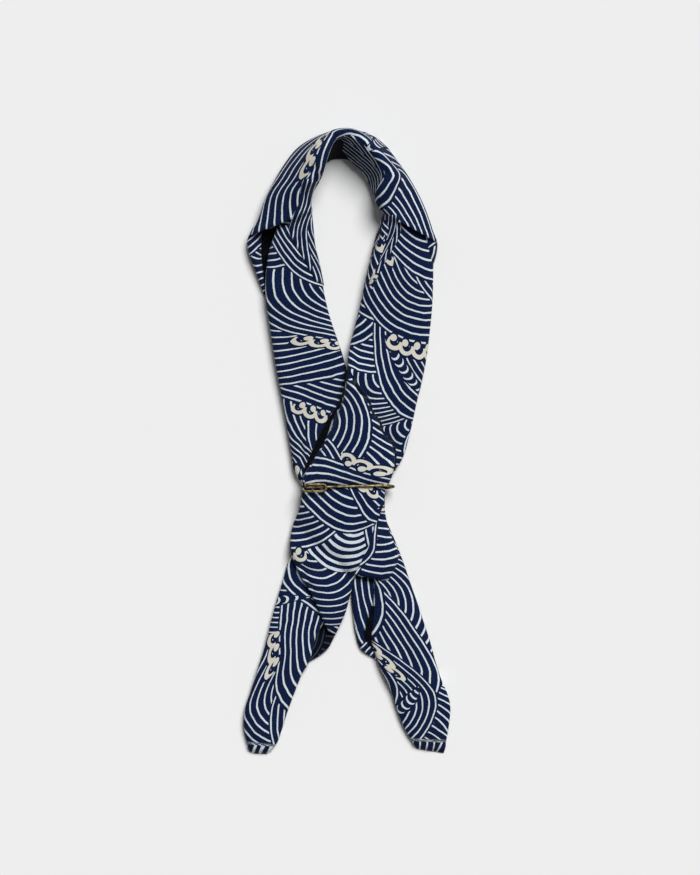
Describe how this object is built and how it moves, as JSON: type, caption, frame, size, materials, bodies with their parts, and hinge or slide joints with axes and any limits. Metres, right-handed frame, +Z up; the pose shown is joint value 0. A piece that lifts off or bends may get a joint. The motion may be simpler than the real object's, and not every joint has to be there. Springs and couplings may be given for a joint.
{
  "type": "bandana with blanket pin",
  "caption": "Square cotton bandana folded on the diagonal into a soft flat band, laid in a neck loop with crossed tails that a bent wire pin holds.",
  "frame": {"origin": "middle of the footprint, on the surface the cloth lies on", "axes": "+X to the right and +Y toward the crest of the neck loop, seen from above; +Z up, away from the surface"},
  "size_m": [0.1171, 0.358, 0.0267],
  "materials": {
    "cotton_print": "navy plain-weave cotton with cream lines",
    "aged_brass": "aged, satin drawn wire"
  },
  "bodies": {
    "root": {"bandana": "cotton_print", "pin": "aged_brass"}
  },
  "joints": []
}
